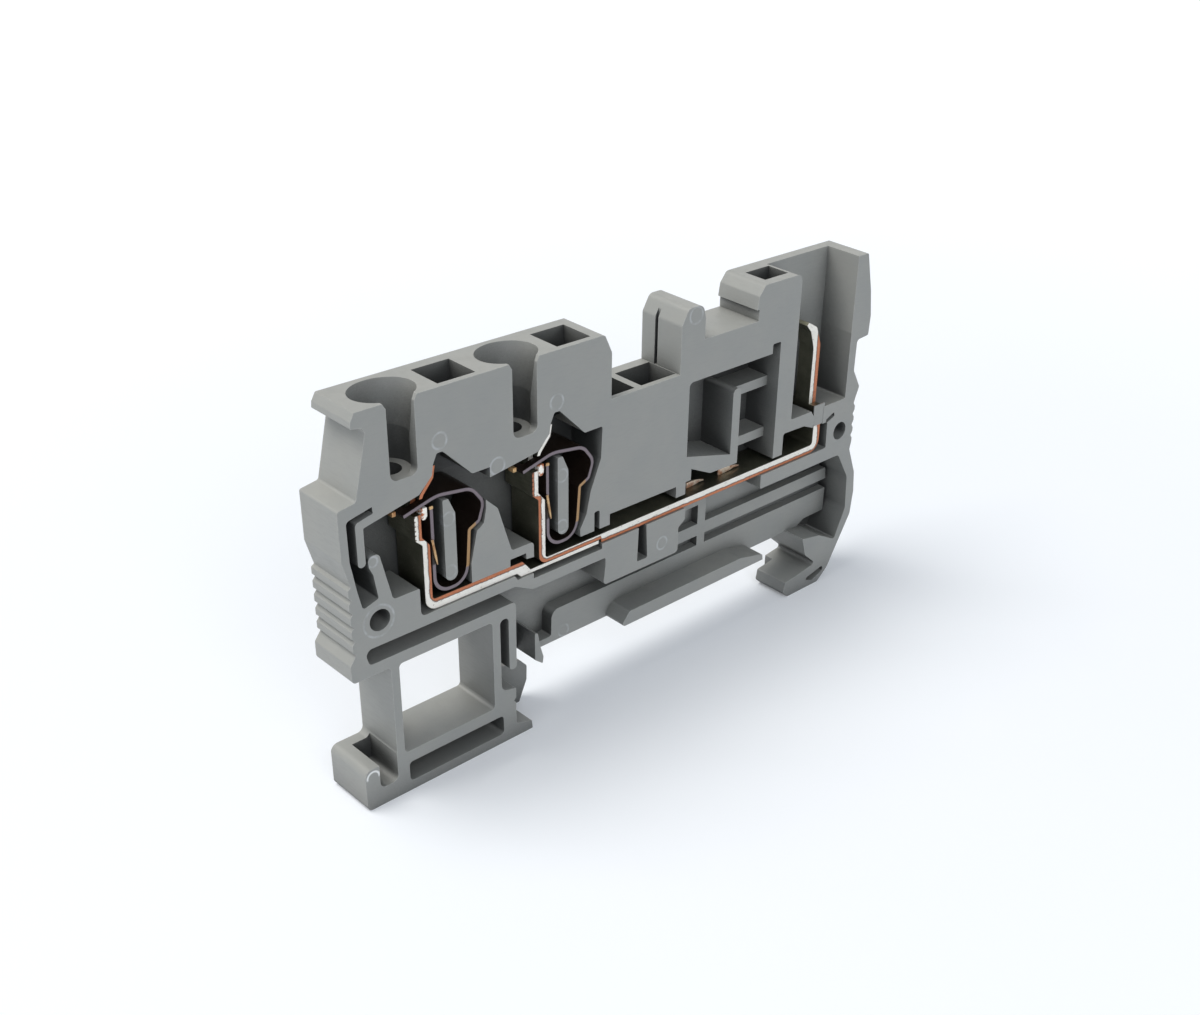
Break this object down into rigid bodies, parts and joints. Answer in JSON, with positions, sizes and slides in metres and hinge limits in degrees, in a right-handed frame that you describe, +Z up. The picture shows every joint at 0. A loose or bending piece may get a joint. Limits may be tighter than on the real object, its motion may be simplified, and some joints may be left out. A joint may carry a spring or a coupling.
{
  "type": "feed-through terminal block",
  "caption": "Thin rail-mounted terminal block with spring-cage wire clamps, bridge shafts and a plug-in contact, its open side showing the current bars and springs.",
  "frame": {"origin": "middle of the rail's seat: the 35 mm rail's centre line, half the block's thickness, and the rail's top face", "axes": "+X along the block from the wire clamps to the plug-in contact, +Y towards the closed back wall and along the rail, +Z up, away from the rail"},
  "size_m": [0.0647, 0.0064, 0.0372],
  "materials": {
    "housing": "fine moulded grey",
    "long_bar": "tin-plated copper with bare cut edges",
    "short_bar": "tin-plated copper with bare cut edges",
    "left_spring": "dark spring steel",
    "right_spring": "dark spring steel"
  },
  "bodies": {
    "root": {"housing": "housing", "long_bar": "long_bar", "short_bar": "short_bar", "left_spring": "left_spring", "right_spring": "right_spring"}
  },
  "joints": []
}
